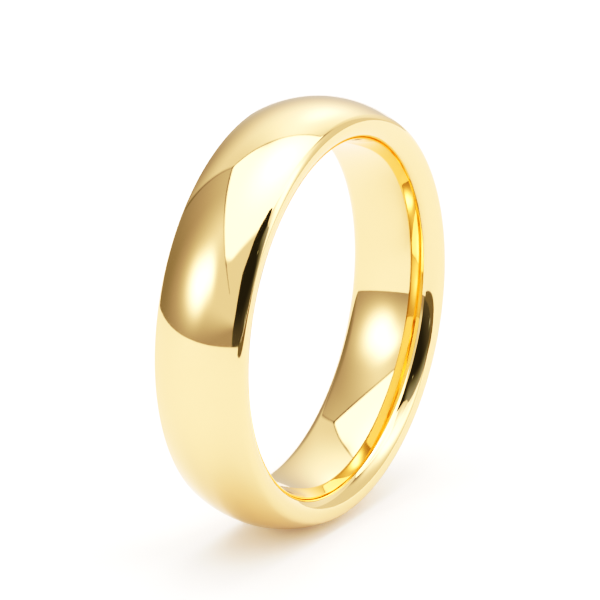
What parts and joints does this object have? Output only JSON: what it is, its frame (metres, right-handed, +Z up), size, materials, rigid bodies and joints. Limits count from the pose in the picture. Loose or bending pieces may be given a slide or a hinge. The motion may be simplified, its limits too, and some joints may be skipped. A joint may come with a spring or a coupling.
{
  "type": "wedding band",
  "caption": "Plain polished yellow gold wedding band with a domed outside and a rounded comfort-fit bore.",
  "frame": {"origin": "centre of the finger bore, midway between the two side faces", "axes": "+Y along the finger bore, out of the rear side face; +Z up, with the band standing on its edge; +X completes a right-handed set"},
  "size_m": [0.0216, 0.005, 0.0216],
  "materials": {
    "polished_gold": "mirror polished yellow gold",
    "core_alloy": "drawn, unpolished"
  },
  "bodies": {
    "root": {"band_core": "core_alloy", "gold_layer": "polished_gold"}
  },
  "joints": []
}
